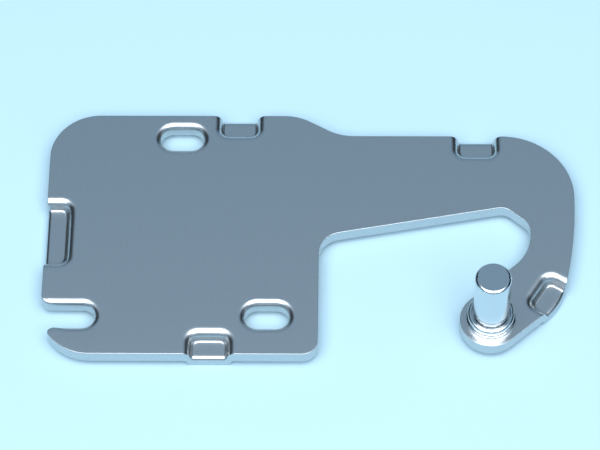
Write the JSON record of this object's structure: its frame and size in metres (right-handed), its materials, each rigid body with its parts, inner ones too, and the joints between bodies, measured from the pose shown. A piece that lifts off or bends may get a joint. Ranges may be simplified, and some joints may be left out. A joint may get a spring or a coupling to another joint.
{
  "type": "hinge",
  "caption": "Flat steel door hinge with a hooked arm, a riveted upright pin, screw slots and pressed feet along its edges.",
  "frame": {"origin": "on the pin's axis, at the lower end of the round length that the door's bush turns on", "axes": "+Z along the pin towards its free end, +X along the plate towards its hooked end, +Y towards the plate's back edge"},
  "size_m": [0.1194, 0.0632, 0.0231],
  "materials": {
    "plate_steel": "satin, fine-grained zinc plating on pressed sheet",
    "pin_steel": "bright zinc plating on turned steel"
  },
  "bodies": {
    "root": {"hinge_plate": "plate_steel", "hinge_pin": "pin_steel"}
  },
  "joints": []
}
